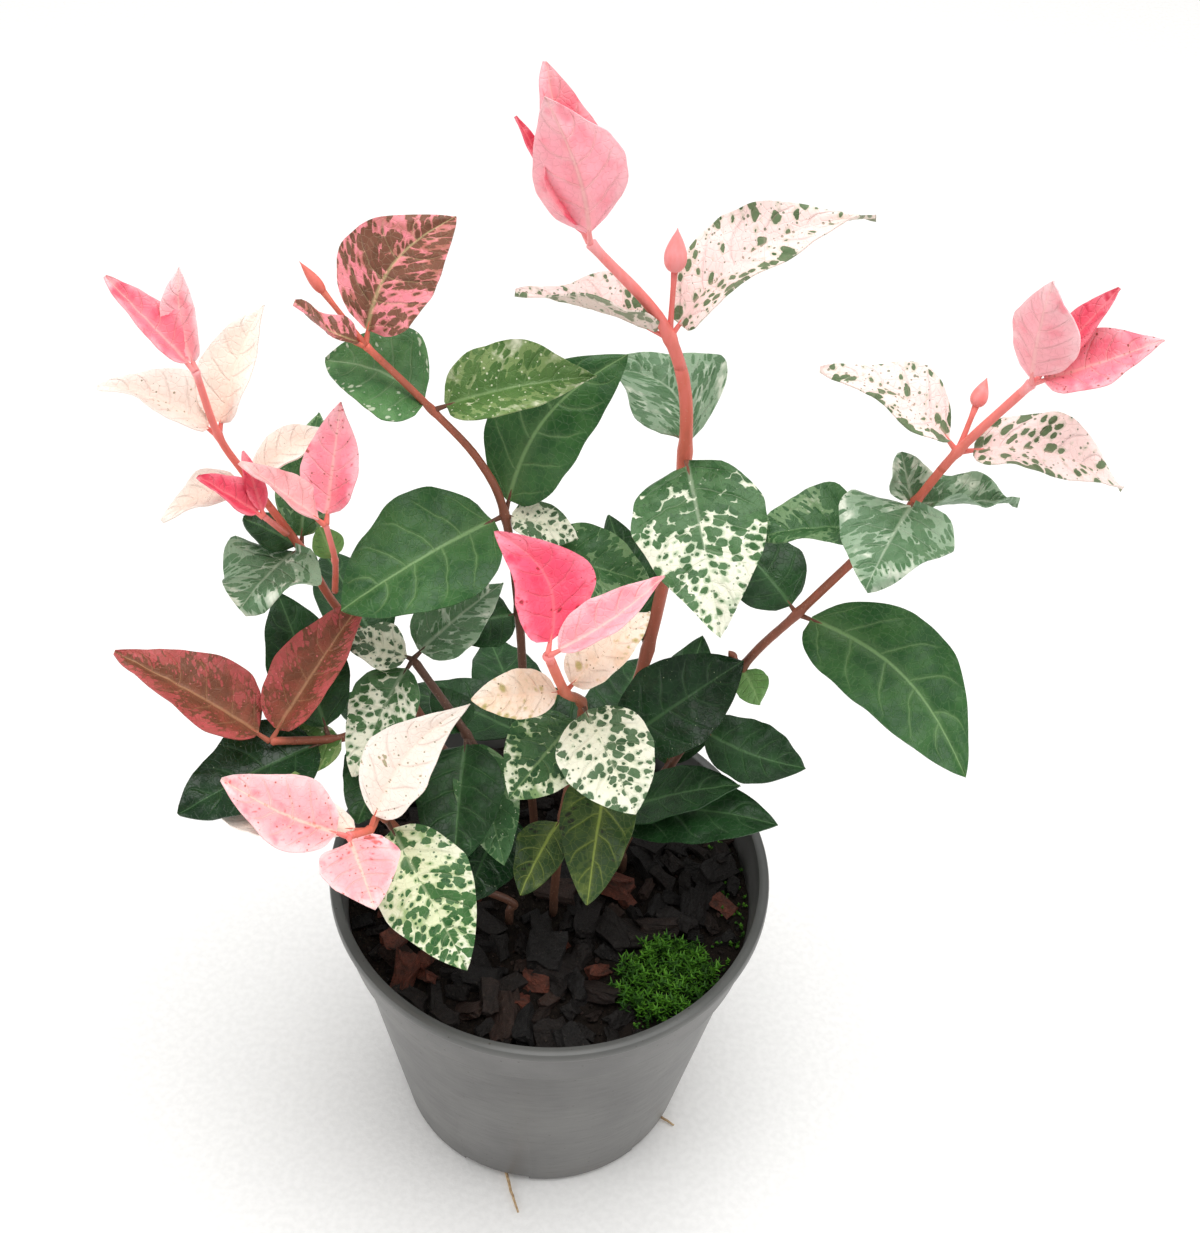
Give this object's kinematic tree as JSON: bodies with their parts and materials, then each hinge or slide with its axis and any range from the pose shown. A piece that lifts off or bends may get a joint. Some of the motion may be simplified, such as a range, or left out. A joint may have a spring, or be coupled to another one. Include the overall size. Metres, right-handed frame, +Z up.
{
  "type": "potted trailing shrub",
  "caption": "Young variegated asiatic jasmine with pink, cream, bronze and marbled green leaves in a tapered grey nursery pot filled with bark mulch.",
  "frame": {"origin": "middle of the flat underside of the pot", "axes": "+Z up, the plant's fullest side towards -Y, +X to the right seen from that side"},
  "size_m": [0.1705, 0.09, 0.2376],
  "materials": {
    "pot": "satin, lightly scuffed",
    "soil": "moist potting soil",
    "bark": "moist bark chips",
    "moss": "matte, tufted",
    "root": "matte, fibrous",
    "leaf_green": "leathery, satin, marbled with cream",
    "leaf_blush": "leathery, satin, spotted with green",
    "leaf_cream": "leathery, satin, finely flecked",
    "leaf_pink": "smooth, satin",
    "leaf_bronze": "smooth, satin"
  },
  "bodies": {
    "root": {"back_shoot_bronze": "leaf_bronze", "back_shoot_green": "leaf_green", "bark_mulch": "bark", "bronze_shoot_green": "leaf_green", "bronze_shoot_tip": "leaf_bronze", "front_left_cream": "leaf_cream", "front_left_green": "leaf_green", "front_left_pink": "leaf_pink", "front_shoot_cream": "leaf_cream", "front_shoot_green": "leaf_green", "front_shoot_pink": "leaf_pink", "inner_left": "leaf_green", "inner_right": "leaf_green", "left_shoot_cream": "leaf_cream", "left_shoot_green": "leaf_green", "left_shoot_pink": "leaf_pink", "left_twig_inner": "leaf_pink", "left_twig_outer": "leaf_pink", "moss_cushion": "moss", "nursery_pot": "pot", "potting_soil": "soil", "right_shoot_blush": "leaf_blush", "right_shoot_green": "leaf_green", "right_shoot_pink": "leaf_pink", "root_front": "root", "root_right": "root", "tall_shoot_blush": "leaf_blush", "tall_shoot_green": "leaf_green", "tall_shoot_pink": "leaf_pink"}
  },
  "joints": []
}
